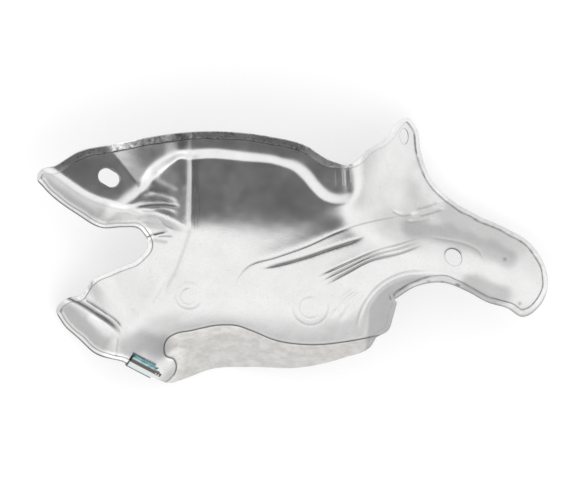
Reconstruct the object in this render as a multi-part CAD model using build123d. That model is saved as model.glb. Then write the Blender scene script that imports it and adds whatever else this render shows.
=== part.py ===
from build123d import *
import os
from collections import namedtuple

import numpy as np

# Exhaust heat shield: one stamped aluminium sheet, domed towards the viewer, and a spring clip on its edge.
# Everything is drawn in a plan frame, x to the right, y up the sheet and z out of its domed face, with the
# height of the face given by a formula. At the end the part is laid down as it rests on a table.

# Driving dimensions, millimetres and degrees
SHEET = 0.8
HEM_WIDTH = 3.2
CROWN = 49.0
SHOULDER_RISE = 6.0
SHOULDER_FALL = 0.14
SHELF_DROP = 4.0
SHELF_WIDTH = 8.0
RIDGE_WIDTH = 7.0
BEAD_HEIGHT = 2.4
BEAD_HALF_WIDTH = 4.5
BEAD_RUN_OUT = 0.2
PAD_HEIGHT = 1.0
PAD_EDGE = 4.0
PLAN = (182.0, 99.0)
SECTIONS = 82
STATIONS = 46
SLOT_WIDTH = 10.6
SLOT_LENGTH = 15.0
TAB_HOLE = 10.6
WING_HOLE = 12.6
CLIP_LENGTH = 22.0
CLIP_STOCK = 0.7
CLIP_GAP = 2.3
CLIP_DROP = 0.2
CLIP_SETBACK = 0.55
CLIP_BEND = 0.9
CLIP_FRONT_LEG = 7.0
CLIP_BACK_LEG = 10.0
CLIP_LIP = 1.5
CLIP_TAIL = 6.0
CLIP_TAIL_WIDTH = 3.4
CLIP_WINDOW = (4.0, 1.4)
REST_DOWN = (-0.0894, 0.1417, -0.9859)

# Outline of the sheet, clockwise from the pucker at the head of the left notch
UPPER_EDGE = [
    (-99.5, 8.5), (-105, 14.5), (-115.5, 15.5), (-130, 15), (-146.5, 24), (-170, 43), (-174, 48.5),
    (-172.5, 53), (-161, 57.5), (-146, 66.5), (-120, 72), (-89, 78), (-63, 80.5), (-15.5, 77), (7.5, 71.5),
    (27, 60.5), (38, 58.5), (51, 68), (64.5, 77), (71.5, 87), (77, 90.5), (84, 83.5), (87, 67.5), (94, 48.5),
    (107.5, 34.5), (127, 23), (146, 14.5), (162.5, 4), (172.5, -12.5), (174, -25), (168.5, -38),
    (157, -45.5), (146, -39.5), (133, -35.5), (118, -27.5), (102, -22), (84, -24.5), (69, -33.5),
]
FLANGE_EDGE = [(71, -36), (68.5, -45.5), (65, -55), (57, -59.5)]
SKIRT_EDGE = [
    (57, -59.5), (53, -66), (35, -73.5), (3.5, -80.5), (-28, -80), (-56, -81.5), (-74, -88), (-84, -91),
    (-96, -87),
]
FLAP_EDGE = [
    (-116.5, -76), (-135.5, -70.5), (-146, -61), (-158, -49), (-161.5, -40), (-156, -34), (-144.5, -31),
]
NOTCH_EDGE = [(-144.5, -31), (-137.5, -21), (-121, -13), (-102.5, -3.5), (-98.5, 3), (-99.5, 8.5)]

# Bend lines of the stamping. The sheet falls away on the right of each line by the slope, past a soft bend.
Fold = namedtuple("Fold", "line slope radius")
BODY = Fold([(-260, 16), (-63, 18), (-29, 14), (5, 11), (35, 9.5), (127, 1), (220, -8)], 0.40, 14)
ROLL = Fold([(-150, -130), (-124, -82), (-113, -61), (-97, -49), (-63, -44), (0, -47), (60, -42), (260, -38)],
            0.60, 10)
WING = Fold([(236, -54), (182, -34), (134, -21), (107, -15.5), (86, -9.5), (62, 3), (43, 15), (36, 26),
             (35, 37), (38, 61), (38, 143)], 0.85, 7)
NOSE = Fold([(-240, 97), (-163, 52), (-135, 34), (-126, 31), (-105, 29), (-70, 22), (220, 0)], 1.5, 4)
NOTCH = Fold([(-60, 140), (-66, 60), (-70, 20), (-75, 2), (-82, -12), (-89, -27), (-97, -39), (-107, -52),
              (-116, -58), (-175, -130)], 0.42, 9)
SKIRT = Fold([(-97, -116), (-88, -91), (-84, -88), (-80, -82), (-81, -75), (-87, -72), (-88, -67), (-86, -61),
              (-80, -57), (-70, -55), (-49, -51), (-38, -51.5), (-28, -55), (-12, -61.5), (9, -64.5), (45, -61),
              (57, -59.5), (100, -60), (260, -80)], 0.5, 4)
FLANGE = Fold([(43, -140), (50, -52), (51.5, -38), (55, -32.5), (61, -26), (68, -21.5), (78, -18), (89, -17.5),
               (105, -18.5), (118, -23), (205, -140)], 1.4, 5)
FLAP = Fold([(-240, 30), (-147.5, -32), (-133, -43), (-120, -52), (-117, -60), (-120, -76), (-124, -116)],
            0.55, 4)
FLAP_TIP_INSET = 11.0
FLAP_TIP_SLOPE = 0.75
TAB_START = (48.0, 70.0)
TAB = Fold([(60, -200), (60, 25), (58, 60), (58, 200)], 0.32, 6)
LOBE_START = 42.0
LOBE_SLOPE = 0.35
LOBE_RADIUS = 16.0
VALLEY_RADIUS = 3.0

# Raised shapes on the dome
SHELF_LINE = [
    (-240, -6), (-150, -2), (-129, 20), (-116, 32.5), (-101, 44), (-83, 60), (-75, 65), (-63, 67), (-30, 65),
    (-10, 62.5), (1.5, 58), (9, 51), (15.5, 43), (23, 36.5), (30.5, 34.5), (39, 36), (45.5, 41),
    (59, 61), (80, 140),
]
SHELF_END = (36.0, 50.0)
RIDGE_LINE = [(-72.5, 129), (-70.5, 65), (-68.5, 34), (-68, 18), (-71.5, 3.5), (-79.5, -12), (-97, -41)]
SHOULDER_END = (0.0, 18.0)
BEADS = [
    [(-31, -14), (-12, -6.5), (10, 1), (33, 10), (56, 18), (72, 22.5)],
    [(17, -20), (36, -11.5), (53, -4.5), (74, 1.5), (91, 8)],
]
PADS = [((-70.7, -31.3), 9.2), ((11.9, -39.1), 12.2)]

# Holes: the slot's centre and lean, and the two round holes
SLOT_AT = (-125.0, 49.0)
SLOT_LEAN = -31.0
TAB_HOLE_AT = (76.0, 77.5)
WING_HOLE_AT = (109.4, -4.9)
CLIP_EDGE_AT = (-105.5, -81.9)

BLOCK = 260.0


def spans(points):
    """Control points of the smooth cubic spans through a row of points."""
    p = np.array(points, float)
    run = np.diff(p, axis=0)
    length = np.hypot(run[:, 0], run[:, 1])[:, None]
    run = run / length
    middle = run[:-1] * length[1:] + run[1:] * length[:-1]
    middle = middle / np.hypot(middle[:, 0], middle[:, 1])[:, None]
    heading = np.vstack([run[:1], middle, run[-1:]]) / 3
    return np.stack([p[:-1], p[:-1] + heading[:-1] * length, p[1:] - heading[1:] * length, p[1:]], axis=1)


def smooth_line(points, steps=6):
    """Points along the smooth curve through a row of points."""
    t = np.linspace(0, 1, steps, endpoint=False)[:, None]
    weights = ((1 - t) ** 3, 3 * t * (1 - t) ** 2, 3 * t**2 * (1 - t), t**3)
    rows = [sum(w * c for w, c in zip(weights, span)) for span in spans(points)]
    return np.vstack(rows + [np.array(points[-1:], float)])


def beside(x, y, points):
    """Distance to the right of a line, and how far along the line, from 0 to 1."""
    line = smooth_line(points)
    run = np.diff(line, axis=0)
    length = np.hypot(run[:, 0], run[:, 1])
    start = np.concatenate([[0], np.cumsum(length)])
    nearest = np.full(x.shape, np.inf)
    offset = np.zeros(x.shape)
    way = np.zeros(x.shape)
    for (ax, ay), (rx, ry), size, before in zip(line, run, length, start):
        t = np.clip(((x - ax) * rx + (y - ay) * ry) / size**2, 0, 1)
        gap = np.hypot(x - ax - t * rx, y - ay - t * ry)
        closer = gap < nearest
        side = np.where(rx * (y - ay) - ry * (x - ax) > 0, -1, 1)
        nearest = np.where(closer, gap, nearest)
        offset = np.where(closer, side * gap, offset)
        way = np.where(closer, (before + t * size) / start[-1], way)
    return offset, way


def ramp(distance, radius):
    """A slope of 1 that starts at zero distance with a soft bend."""
    return (distance + np.sqrt(distance**2 + radius**2)) / 2


def ease(value, low, high):
    """0 below low, 1 above high, with a smooth rise between."""
    t = np.clip((value - low) / (high - low), 0, 1)
    return t * t * (3 - 2 * t)


def fall(x, y, fold):
    return fold.slope * ramp(beside(x, y, fold.line)[0], fold.radius)


def height(x, y):
    """Height of the sheet's domed face over the plan."""
    z = CROWN - LOBE_SLOPE * ramp(x - LOBE_START, LOBE_RADIUS)
    for fold in (BODY, ROLL, WING, SKIRT, FLANGE, FLAP):
        z = z - fall(x, y, fold)
    z = z - FLAP_TIP_SLOPE * ramp(beside(x, y, FLAP.line)[0] - FLAP_TIP_INSET, FLAP.radius)
    z = z - fall(x, y, TAB) * ease(y, *TAB_START)

    # The nose falls steeply, the side of the notch gently, and they meet in a valley at the pucker
    nose, notch = fall(x, y, NOSE), fall(x, y, NOTCH)
    z = z - np.maximum(0, nose - ramp(nose - notch, VALLEY_RADIUS))

    # The flat flange lies a step below the dome, and the left shoulder stands above the middle panel
    off_shelf = -beside(x, y, SHELF_LINE)[0]
    flange = ease(off_shelf, -SHELF_WIDTH / 2, SHELF_WIDTH / 2)
    off_ridge = beside(x, y, RIDGE_LINE)[0]
    shoulder = ease(off_ridge, -RIDGE_WIDTH / 2, RIDGE_WIDTH / 2) * ease(y, *SHOULDER_END)
    rise = np.maximum(SHOULDER_RISE - SHOULDER_FALL * np.maximum(off_ridge, 0), 0)
    z = z + rise * shoulder * (1 - flange) - SHELF_DROP * flange * (1 - ease(x, *SHELF_END))

    # Stiffening beads and round pads
    for line in BEADS:
        off_bead, way = beside(x, y, line)
        run_out = ease(way, 0, BEAD_RUN_OUT) * ease(1 - way, 0, BEAD_RUN_OUT)
        z = z + BEAD_HEIGHT * run_out * np.exp(-((off_bead / BEAD_HALF_WIDTH) ** 2))
    for (px, py), radius in PADS:
        z = z + PAD_HEIGHT * ease(-np.hypot(x - px, y - py), -radius - PAD_EDGE / 2, PAD_EDGE / 2 - radius)
    return z


def slopes(x, y, step=0.5):
    along = (height(x + step, y) - height(x - step, y)) / (2 * step)
    up = (height(x, y + step) - height(x, y - step)) / (2 * step)
    return along, up


def sheet_plane(at):
    """Plane on the domed face at a plan point, with its x axis level and to the right."""
    x, y = np.array([at[0]]), np.array([at[1]])
    z = height(x, y)[0]
    along, up = (s[0] for s in slopes(x, y))
    return Plane(origin=(at[0], at[1], z), x_dir=(1, 0, along), z_dir=(-along, -up, 1))


def under(x, y, level):
    """All that lies below a surface of given heights, lofted through splines across the sheet."""
    way = [float(w) for w in np.linspace(0, 1, x.shape[1])]
    sections = []
    for row in zip(x, y, level):
        sections.append(Wire([Edge.make_spline([tuple(p) for p in zip(*row)], parameters=way)]))
    return extrude(Shell.make_loft(sections).faces()[0], BLOCK, dir=(0, 0, -1))


def column(lines):
    return extrude(Plane.XY.offset(-BLOCK / 3) * make_face(lines), 2 * BLOCK / 3)


def curve(points):
    return [Bezier(*[tuple(c) for c in span]) for span in spans(points)]


def outline():
    lines = [Line(UPPER_EDGE[-1], FLANGE_EDGE[0]), Line(SKIRT_EDGE[-1], FLAP_EDGE[0])]
    for points in (UPPER_EDGE, FLANGE_EDGE, SKIRT_EDGE, FLAP_EDGE, NOTCH_EDGE):
        lines += curve(points)
    return lines


def hem_line():
    """The hem's inner edge: the outline moved in by its width, and out past the plain edge of the skirt."""
    hemmed = UPPER_EDGE[1:-1] + FLANGE_EDGE[1:-1]
    plain = SKIRT_EDGE[2:-2]
    rest = [SKIRT_EDGE[-1]] + FLAP_EDGE[:-1] + NOTCH_EDGE[1:-1]
    points = np.array(hemmed + plain + rest, float)
    inset = np.array([HEM_WIDTH] * len(hemmed) + [-2 * HEM_WIDTH] * len(plain) + [HEM_WIDTH] * len(rest))
    run = np.roll(points, -1, axis=0) - np.roll(points, 1, axis=0)
    inward = np.stack([run[:, 1], -run[:, 0]], axis=1) / np.hypot(run[:, 0], run[:, 1])[:, None]
    moved = [tuple(p) for p in points + inset[:, None] * inward]
    return curve(moved[-1:] + moved + moved[:2])[1:-1]


def make_sheet():
    across = np.linspace(-PLAN[0], PLAN[0], SECTIONS)
    upward = np.linspace(-PLAN[1], PLAN[1], STATIONS)
    x, y = np.meshgrid(across, upward, indexing="ij")
    face = height(x, y)
    along, up = slopes(x, y)
    lift = SHEET * np.sqrt(1 + along**2 + up**2)
    body = column(outline()) & under(x, y, face + lift)
    body = body - under(x, y, face - lift)
    body = body - (column(hem_line()) - under(x, y, face))
    drill = BLOCK / 4
    for at, diameter in ((TAB_HOLE_AT, TAB_HOLE), (WING_HOLE_AT, WING_HOLE)):
        body = body - sheet_plane(at) * Cylinder(diameter / 2, drill)
    slot = Rot(Z=SLOT_LEAN) * SlotOverall(SLOT_LENGTH, SLOT_WIDTH)
    return body - sheet_plane(SLOT_AT) * extrude(slot, drill / 2, both=True)


def make_clip():
    """Spring steel strip bent round the lower left edge, with a flared lip and a slotted tail on the face."""
    seat = sheet_plane(CLIP_EDGE_AT)
    run = Vector(*SKIRT_EDGE[-1]) - Vector(*FLAP_EDGE[0])
    run = run - Vector(0, 0, run.dot(seat.z_dir) / seat.z_dir.Z)
    seat = Plane(seat.origin - seat.z_dir * CLIP_DROP, x_dir=run, z_dir=seat.z_dir)
    level = (CLIP_GAP + CLIP_STOCK) / 2
    outside = -CLIP_SETBACK - CLIP_STOCK / 2
    lip = (CLIP_FRONT_LEG + CLIP_LIP, level + CLIP_LIP)
    corners = [(CLIP_BACK_LEG, -level), (outside, -level), (outside, level), (CLIP_FRONT_LEG, level), lip]
    section = FilletPolyline(*corners, radius=CLIP_BEND)
    strip = extrude(Plane.YZ * trace(section, CLIP_STOCK), CLIP_LENGTH / 2, both=True)
    tail_at = Pos((CLIP_LENGTH + CLIP_TAIL) / 2, CLIP_FRONT_LEG - CLIP_TAIL_WIDTH, level)
    tail = tail_at * Box(CLIP_TAIL, CLIP_TAIL_WIDTH, CLIP_STOCK)
    window = tail_at * Box(*CLIP_WINDOW, 2 * CLIP_STOCK)
    return seat * (strip + tail - window)


def lay_down(parts, seats):
    """Turn everything so that REST_DOWN points down, then stand it on the ground, centred over the origin."""
    up = -Vector(*REST_DOWN)
    table = Plane(origin=(0, 0, 0), x_dir=Vector(1, 0, 0) - up * (up.X / up.length**2), z_dir=up)
    turn = table.location.inverse()
    boxes = [(turn * part).bounding_box() for part in parts]
    low = Vector(*[min(axis) for axis in zip(*[box.min for box in boxes])])
    high = Vector(*[max(axis) for axis in zip(*[box.max for box in boxes])])
    place = Pos(-(low.X + high.X) / 2, -(low.Y + high.Y) / 2, -low.Z) * turn
    return [place * part for part in parts], [Plane(place * seat.location) for seat in seats]


seats = [sheet_plane(at) for at in (SLOT_AT, TAB_HOLE_AT, WING_HOLE_AT, CLIP_EDGE_AT)]
(sheet, clip), seats = lay_down([make_sheet(), make_clip()], seats)
os.makedirs("parts", exist_ok=True)
export_step(sheet, "parts/heat_shield.step")
export_step(clip, "parts/edge_clip.step")
for name, seat in zip(("slot", "tab hole", "wing hole", "clip"), seats):
    print(name, "at", seat.origin, "facing", seat.z_dir, "level axis", seat.x_dir)
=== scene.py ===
"""Looks of an exhaust heat shield: a stamped, hemmed and wrinkled aluminium sheet with a spring clip."""
import math
from collections import namedtuple

import bpy
import numpy as np
from mathutils import Matrix, Vector
from mathutils.geometry import delaunay_2d_cdt
from mathutils.kdtree import KDTree


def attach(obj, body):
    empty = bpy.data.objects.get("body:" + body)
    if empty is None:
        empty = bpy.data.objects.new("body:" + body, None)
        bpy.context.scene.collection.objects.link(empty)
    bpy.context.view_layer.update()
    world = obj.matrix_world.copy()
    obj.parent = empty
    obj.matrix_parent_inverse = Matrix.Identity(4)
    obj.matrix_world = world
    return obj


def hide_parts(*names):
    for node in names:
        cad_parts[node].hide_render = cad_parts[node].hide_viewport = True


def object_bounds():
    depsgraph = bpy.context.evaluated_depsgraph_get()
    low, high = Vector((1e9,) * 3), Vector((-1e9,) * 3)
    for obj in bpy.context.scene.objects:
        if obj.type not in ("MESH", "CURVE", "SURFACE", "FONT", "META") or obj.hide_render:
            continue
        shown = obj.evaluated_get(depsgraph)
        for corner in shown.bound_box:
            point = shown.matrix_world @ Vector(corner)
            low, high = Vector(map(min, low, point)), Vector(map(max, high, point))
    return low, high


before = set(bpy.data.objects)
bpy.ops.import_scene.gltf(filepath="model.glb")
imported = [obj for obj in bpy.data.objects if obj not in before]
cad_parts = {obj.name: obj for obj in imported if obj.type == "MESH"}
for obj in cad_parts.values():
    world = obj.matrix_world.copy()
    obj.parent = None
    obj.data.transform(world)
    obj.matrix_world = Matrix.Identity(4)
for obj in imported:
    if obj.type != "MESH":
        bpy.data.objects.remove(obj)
cad_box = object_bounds()

# The sheet is drawn in a plan frame in millimetres, x to the right, y up the sheet and z out of its domed
# face, by a formula close to the solid's. It is then laid down with the turn and shift of the solid.
SHEET = 0.8
CROWN = 49.0
REST_DOWN = (-0.0894, 0.1417, -0.9859)
REST_SHIFT = (0.4446, 2.0243, 21.2988)

# Outline of the sheet, clockwise from the pucker at the head of the left notch
UPPER_EDGE = [
    (-99.5, 8.5), (-105, 14.5), (-115.5, 15.5), (-130, 15), (-146.5, 24), (-170, 43), (-174, 48.5),
    (-172.5, 53), (-161, 57.5), (-146, 66.5), (-120, 72), (-89, 78), (-63, 80.5), (-15.5, 77), (7.5, 71.5),
    (27, 60.5), (38, 58.5), (51, 68), (64.5, 77), (71.5, 87), (77, 90.5), (84, 83.5), (87, 67.5), (94, 48.5),
    (107.5, 34.5), (127, 23), (146, 14.5), (162.5, 4), (172.5, -12.5), (174, -25), (168.5, -38),
    (157, -45.5), (146, -39.5), (133, -35.5), (118, -27.5), (102, -22), (84, -24.5), (69, -33.5),
]
FLANGE_EDGE = [(71, -36), (68.5, -45.5), (65, -55), (57, -59.5)]
SKIRT_EDGE = [
    (57, -59.5), (53, -66), (35, -73.5), (3.5, -80.5), (-28, -80), (-56, -81.5), (-74, -88), (-84, -91),
    (-96, -87),
]
FLAP_EDGE = [
    (-116.5, -76), (-135.5, -70.5), (-146, -61), (-158, -49), (-161.5, -40), (-156, -34), (-144.5, -31),
]
NOTCH_EDGE = [(-144.5, -31), (-137.5, -21), (-121, -13), (-102.5, -3.5), (-98.5, 3), (-99.5, 8.5)]

# Bend lines of the stamping. The sheet falls away on the right of each line by the slope, past a soft bend.
Fold = namedtuple("Fold", "line slope radius")
BODY = Fold([(-260, 16), (-63, 19), (-29, 17), (5, 14.5), (35, 13), (127, 1), (220, -8)], 0.40, 14)
ROLL = Fold([(-150, -130), (-124, -82), (-113, -61), (-97, -49), (-63, -44), (0, -47), (60, -42), (260, -38)],
            0.60, 10)
WING = Fold([(236, -54), (182, -34), (134, -21), (107, -15.5), (86, -9.5), (62, 3), (43, 13), (22, 21),
             (-40, 48)], 0.85, 7)
TAB_SIDE = Fold([(28, -100), (28.5, 5), (32, 16), (35.5, 24), (39, 33), (41, 45), (39.5, 61), (38, 143)],
                0.85, 4.5)
TAB_SIDE_FROM = (22.0, 38.0)
WING_MEET = 18.0
NOSE = Fold([(-240, 97), (-163, 52), (-135, 34), (-126, 31), (-106, 26.5), (-75, 15), (220, -40)], 1.5, 1.4)
NOSE_BAND = 4.4
NOSE_BAND_SLOPE = 0.55
NOTCH = Fold([(-60, 140), (-66, 60), (-70, 20), (-75, 2), (-82, -12), (-89, -27), (-97, -39), (-107, -52),
              (-116, -58), (-175, -130)], 0.42, 9)
SKIRT_FOLD = [
    (-84, -88), (-80, -82), (-81, -75), (-87, -72), (-88, -67), (-86, -61), (-80, -57), (-70, -55),
    (-49, -51), (-38, -51.5), (-28, -55), (-12, -61.5), (9, -64.5), (45, -61),
]
SKIRT = Fold([(-97, -116), (-88, -91), *SKIRT_FOLD, (57, -59.5), (100, -60), (260, -80)], 0.5, 4)
SKIRT_FROM = (-0.3, 0.5)
SKIRT_END = (58.0, 66.0)
FLANGE = Fold([(43, -140), (50, -52), (51.5, -38), (55, -32.5), (61, -26), (68, -21.5), (78, -18),
               (89, -17.5), (105, -18.5), (118, -23), (205, -140)], 1.4, 2.5)
FLAP = Fold([(-240, 30), (-147.5, -32), (-133, -43), (-120, -52), (-117, -60), (-120, -76), (-124, -116)],
            0.55, 4)
FLAP_TIP_INSET = 11.0
FLAP_TIP_SLOPE = 0.75
TAB_START = (48.0, 70.0)
TAB = Fold([(60, -200), (60, 25), (58, 60), (58, 200)], 0.32, 6)
LOBE_START = 42.0
LOBE_SLOPE = 0.35
LOBE_RADIUS = 16.0
VALLEY_RADIUS = 3.0

# Shelf along the upper edge: its line, and the two edges of its band, measured to the left of the line.
# An edge is shifted left of the ridge, by a share less on the nose, and again at the turn to the tab.
SHELF_LINE = [
    (-240, -6), (-150, -2), (-129, 20), (-116, 32.5), (-101, 44), (-83, 60), (-75, 65), (-63, 67), (-30, 65),
    (-10, 62.5), (1.5, 58), (9, 51), (15.5, 43), (23, 36.5), (30.5, 34.5), (39, 36), (45.5, 41), (59, 61),
    (80, 140),
]
ShelfEdge = namedtuple("ShelfEdge", "at left_shift left_from nose_share turn_shift")
SHELF_INNER = ShelfEdge(-4.8, 4.0, (68.0, 80.0), 0.6, 1.2)
SHELF_OUTER = ShelfEdge(0.8, 4.5, (72.0, 98.0), 0.45, 2.7)
SHELF_BENDS = (0.8, 2.0)

# Where the shelf changes: left of the ridge and on the nose, by -x, and at its turn and its end, by x
SHELF_LEFT = (68.0, 88.0)
SHELF_LEFT_END = (84.0, 130.0)
SHELF_NOSE = (96.0, 108.0)
SHELF_TURN = (-8.0, 12.0)
SHELF_END = (36.0, 50.0)

# Drop of the shelf, more at its turn and less at the left, and the share of it that spreads over the panel
SHELF_DROP = 2.6
TURN_DROP = 0.25
LEFT_DROP = 0.9
SHELF_SPREAD = 34.0
LEFT_SPREAD = 0.6
SPREAD_SHARE = 0.55
LEFT_SHARE = 0.15

# Shoulder: a long rise over the panel, a sharp ridge, and a slow fall past it towards the nose
RIDGE_LINE = [(-66.6, 129), (-68.4, 65), (-69, 34), (-69.4, 22), (-73.6, 4), (-80.2, -12), (-97, -41)]
RIDGE_SLOPE = 0.30
RIDGE_WIDTH = 6.6
RIDGE_BENDS = (0.5, 2.4)
RIDGE_SPREAD = 60.0
SHOULDER_RISE = 5.0
SHOULDER_FALL = 0.14
SHOULDER_BEND = 1.4
SHOULDER_BEND_REACH = 20.0
SHOULDER_END = (-16.0, 19.0)

# Beads, each a line and a height, and round pads, each a middle and a radius
BEADS = [
    ([(-33, -9), (-12, -2.5), (9, 5.2), (31, 15.4), (55, 22.4), (73, 25.5)], 0.4),
    ([(17, -20), (36, -11.5), (53, -4.5), (74, 1.5), (91, 8)], 0.3),
]
PADS = [((-70.7, -31.3), 9.2), ((11.9, -39.1), 12.2)]
BEAD_HALF_WIDTH = 4.5
RUN_OUT = 0.2
PAD_HEIGHT = 0.12
PAD_EDGE = 2.4

# Facet on the flange between the nose and the ridge
FACET_LINE = [(-106.3, 45.1), (-114.9, 56.4), (-126, 70)]
FACET_SLOPE = 0.36
FACET_WIDTH = 15.0
FACET_BEND = 9.0
FACET_RETURN = 0.10
FACET_FLAT = 6.0

# Low swell over the flap, steep on its left and long on its right
SWELL_LINE = [(-126, -6), (-120, -22), (-113, -36), (-106, -49), (-102, -58)]
SWELL_FLANKS = (10.0, 40.0)
SWELL_HEIGHT = 1.7
SWELL_RUN_OUT = 0.25

# Holes: the slot in the nose, the hole in the tab and the hole in the wing
Hole = namedtuple("Hole", "at lean half_run radius")
SLOT_WIDTH = 10.6
SLOT_LENGTH = 15.0
TAB_HOLE = 10.6
WING_HOLE = 12.6
WING_HOLE_AT = (109.4, -4.9)
HOLES = [
    Hole((-125.0, 49.0), -31.0, (SLOT_LENGTH - SLOT_WIDTH) / 2, SLOT_WIDTH / 2),
    Hole((76.0, 77.5), 0.0, 0.0, TAB_HOLE / 2),
    Hole(WING_HOLE_AT, 0.0, 0.0, WING_HOLE / 2),
]

# Fine marks of the press: ridges where the rise is positive, grooves where it is negative, and the painted
# shade in them.
# A span sets how far to each side fine rows of the mesh run, in place of rows by the half width.
Crease = namedtuple("Crease", "line rise half_width grime span", defaults=[None])


def arc(at, radius, start, end):
    """Points of a circle between two angles in degrees."""
    return [(at[0] + radius * math.cos(math.radians(a)), at[1] + radius * math.sin(math.radians(a)))
            for a in np.linspace(start, end, 9)]


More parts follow.
